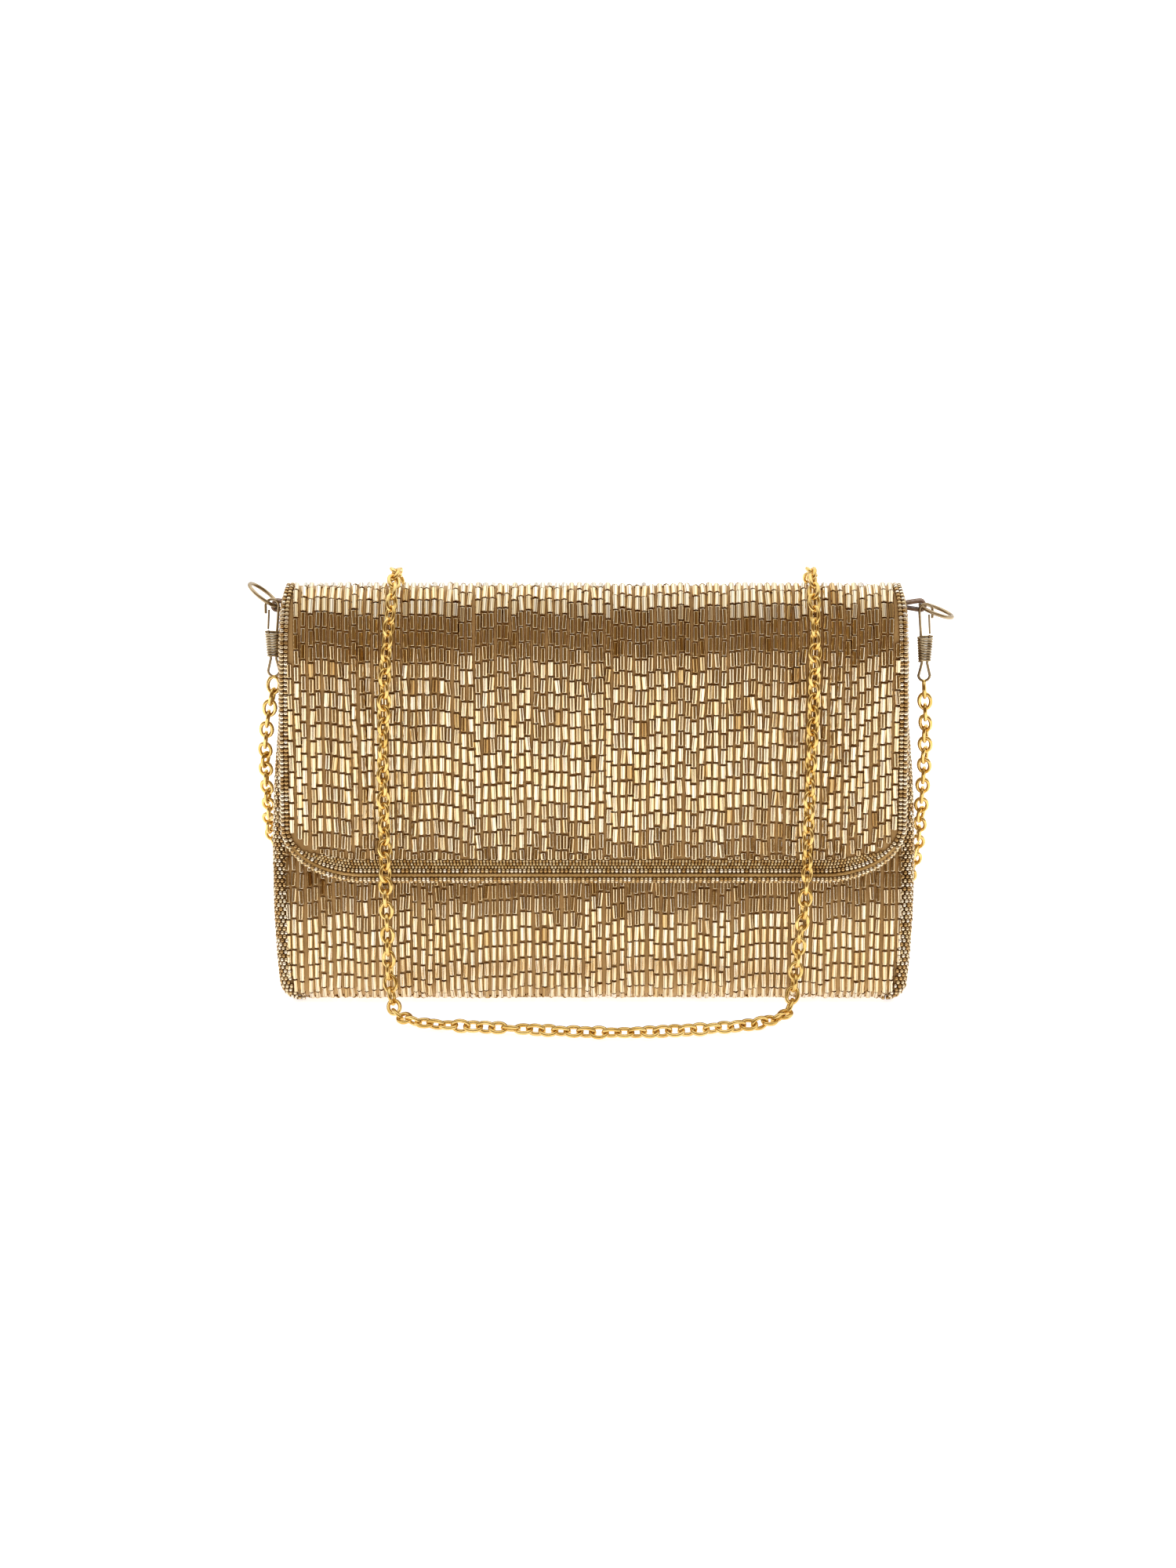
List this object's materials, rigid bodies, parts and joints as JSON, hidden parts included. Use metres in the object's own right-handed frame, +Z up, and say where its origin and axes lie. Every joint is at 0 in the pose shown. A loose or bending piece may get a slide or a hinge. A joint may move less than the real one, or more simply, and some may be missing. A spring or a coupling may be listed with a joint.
{
  "type": "evening bag",
  "caption": "Beaded envelope evening bag: pouch with a fold-over flap, magnetic snap, end rings, wire clips and a draped chain strap.",
  "frame": {"origin": "on the ground plane under the middle of the pouch", "axes": "+X along the bag's width, to the right seen from the front; +Y from the front to the back; +Z up"},
  "size_m": [0.2379, 0.0883, 0.151],
  "materials": {
    "beaded_cloth": "gold bugle beads sewn in columns on golden brown cloth",
    "seed_beading": "silver and amber seed beads packed close on cloth",
    "base_satin": "golden brown cloth with seed beads",
    "board": "stiff buckram interlining",
    "satin_lining": "gold satin, soft sheen",
    "snap_metal": "polished gold plate",
    "washer_steel": "plain zinc-plated steel",
    "tab_thread": "coppery brown thread wrap",
    "nickel_wire": "dull champagne nickel plate",
    "coil_steel": "silver-grey whipping wire",
    "chain_gold": "bright yellow gold plate"
  },
  "bodies": {
    "bag": {"front_panel": "beaded_cloth", "back_panel": "beaded_cloth", "base_panel": "base_satin", "gusset_left": "seed_beading", "gusset_right": "seed_beading", "front_board": "board", "back_board": "board", "base_board": "board", "lining_pouch": "satin_lining", "slip_pocket": "satin_lining", "mouth_piping": "satin_lining", "snap_socket": "snap_metal", "snap_socket_washer": "washer_steel", "ring_tab_left": "tab_thread", "ring_tab_right": "tab_thread", "chain_rear_left": "chain_gold", "chain_rear_right": "chain_gold"},
    "flap": {"flap_panel": "beaded_cloth", "flap_edging": "seed_beading", "flap_board": "board", "flap_lining": "satin_lining", "snap_stud": "snap_metal", "snap_stud_washer": "washer_steel", "chain_flap_left": "chain_gold", "chain_flap_right": "chain_gold"},
    "chain_drop": {"chain_loop": "chain_gold"},
    "ring_l": {"ring_left": "nickel_wire"},
    "ring_r": {"ring_right": "nickel_wire"},
    "clip_l": {"clip_hook_left": "nickel_wire", "clip_coil_left": "coil_steel"},
    "clip_r": {"clip_hook_right": "nickel_wire", "clip_coil_right": "coil_steel"},
    "gate_l": {"clip_gate_left": "nickel_wire"},
    "gate_r": {"clip_gate_right": "nickel_wire"}
  },
  "joints": [
    {"name": "flap_fold", "type": "hinge", "parent": "bag", "child": "flap", "pos_m": [0, 0.00842, 0.131], "axis": [-1, 0, 0], "range_deg": [0, 110], "deforming": ["chain_flap_left", "chain_flap_right", "chain_loop"]},
    {"name": "chain_hang", "type": "hinge", "parent": "flap", "child": "chain_drop", "pos_m": [0, -0.0254, 0.047], "axis": [-1, 0, 0], "range_deg": [-110, 0]},
    {"name": "ring_left_swing", "type": "hinge", "parent": "bag", "child": "ring_l", "pos_m": [-0.1066, -0.004, 0.1372], "axis": [0, 1, 0], "range_deg": [-93, 22], "deforming": ["chain_rear_left"]},
    {"name": "ring_right_swing", "type": "hinge", "parent": "bag", "child": "ring_r", "pos_m": [0.11, -0.004, 0.1372], "axis": [0, -1, 0], "range_deg": [-35, 80], "deforming": ["chain_rear_right"]},
    {"name": "clip_left_hang", "type": "hinge", "parent": "ring_l", "child": "clip_l", "pos_m": [-0.10794, -0.0081, 0.13825], "axis": [0, 1, 0], "range_deg": [-22, 93]},
    {"name": "clip_right_hang", "type": "hinge", "parent": "ring_r", "child": "clip_r", "pos_m": [0.1116, -0.0081, 0.13662], "axis": [0, -1, 0], "range_deg": [-80, 35]},
    {"name": "gate_left_press", "type": "hinge", "parent": "clip_l", "child": "gate_l", "pos_m": [-0.10944, -0.0081, 0.13015], "axis": [0, 1, 0], "range_deg": [0, 18], "stiffness_Nm_per_rad": 0.002},
    {"name": "gate_right_press", "type": "hinge", "parent": "clip_r", "child": "gate_r", "pos_m": [0.1131, -0.0081, 0.12852], "axis": [0, -1, 0], "range_deg": [0, 18], "stiffness_Nm_per_rad": 0.002}
  ],
  "couplings": [
    {"joint": "chain_hang", "follows": "flap_fold", "ratio": -1},
    {"joint": "clip_left_hang", "follows": "ring_left_swing", "ratio": -1},
    {"joint": "clip_right_hang", "follows": "ring_right_swing", "ratio": -1}
  ]
}
